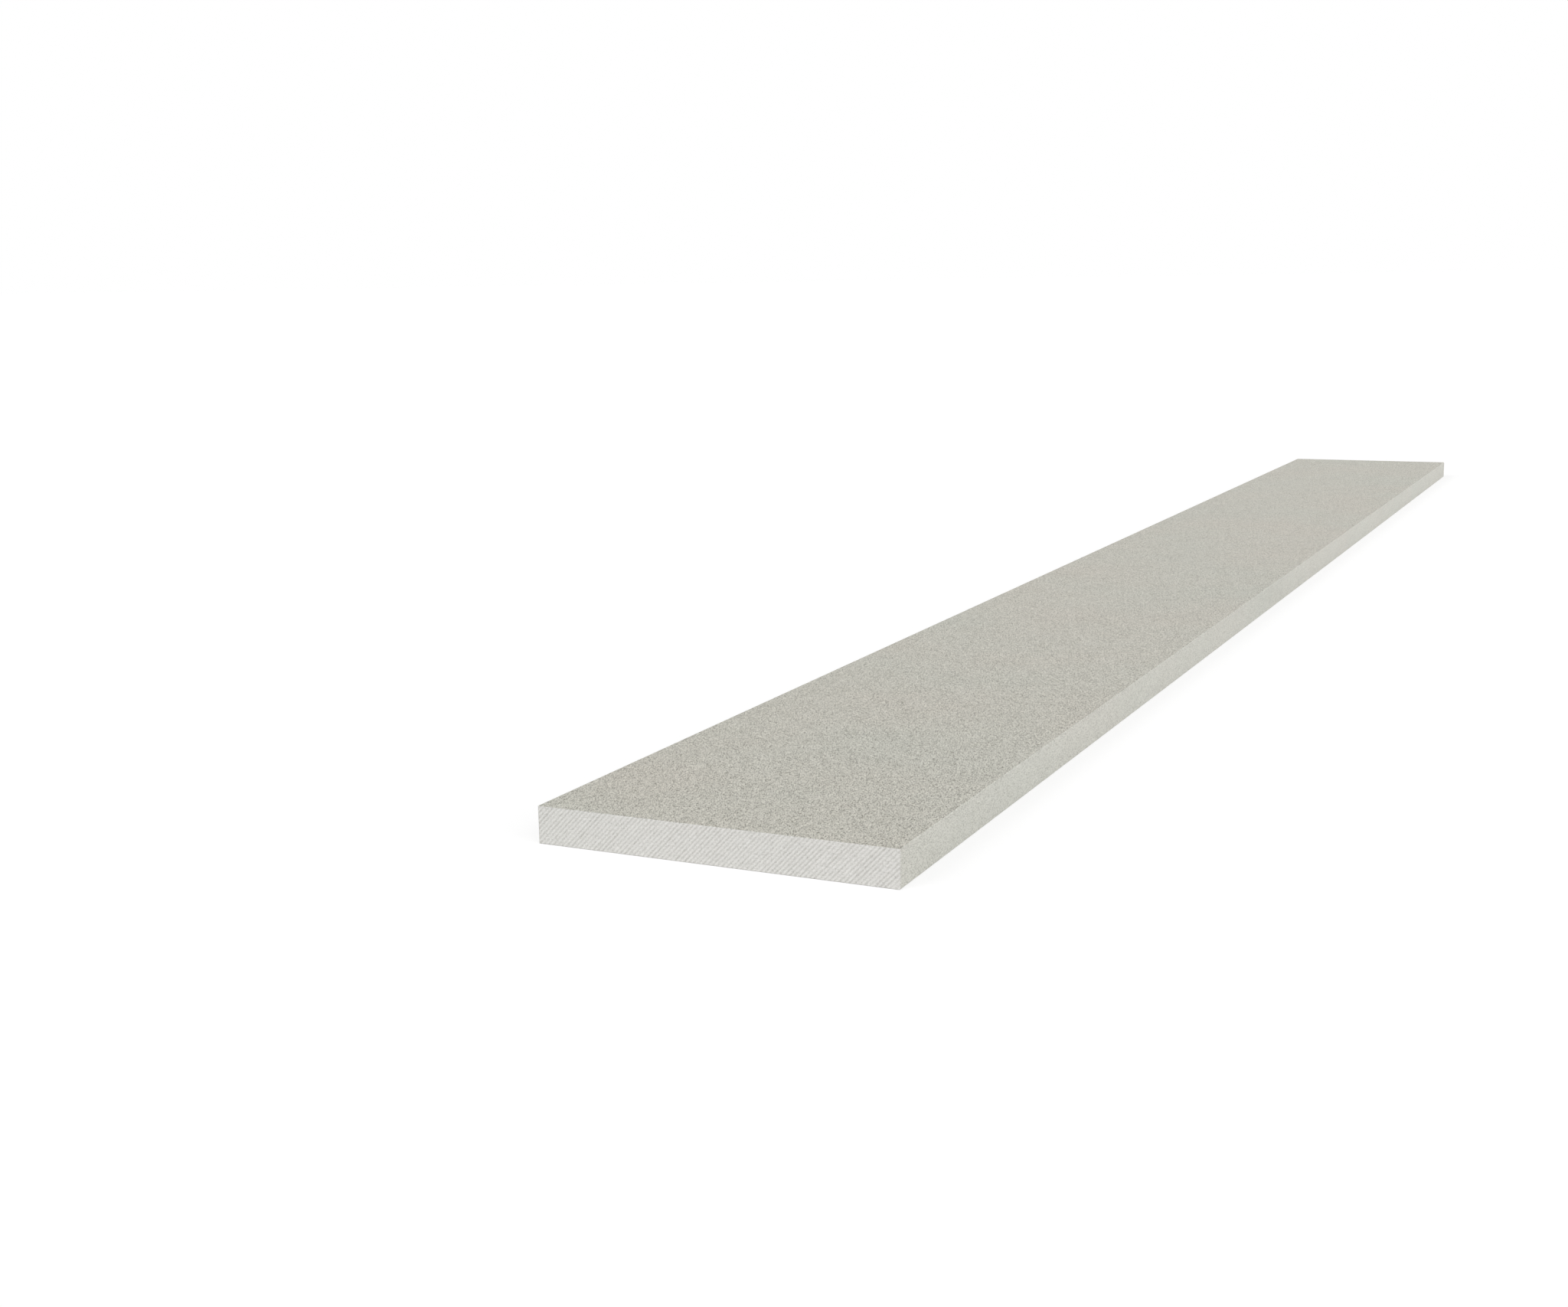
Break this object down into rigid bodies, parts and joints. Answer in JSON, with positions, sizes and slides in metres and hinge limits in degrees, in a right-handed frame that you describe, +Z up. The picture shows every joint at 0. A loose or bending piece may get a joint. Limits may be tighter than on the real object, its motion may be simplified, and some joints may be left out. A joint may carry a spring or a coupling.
{
  "type": "shower niche sill",
  "caption": "Long flat plank of pale speckled composite stone with square sawn ends and a honed front edge, laid as the sill of a shower niche.",
  "frame": {"origin": "middle of the underside, on the surface that the plank lies on", "axes": "+X along the plank, +Y from the finished front edge to the back edge that goes to the wall, +Z up from the underside to the shelf face"},
  "size_m": [2, 0.2, 0.02],
  "materials": {
    "composite_stone": "honed"
  },
  "bodies": {
    "root": {"sill": "composite_stone"}
  },
  "joints": []
}
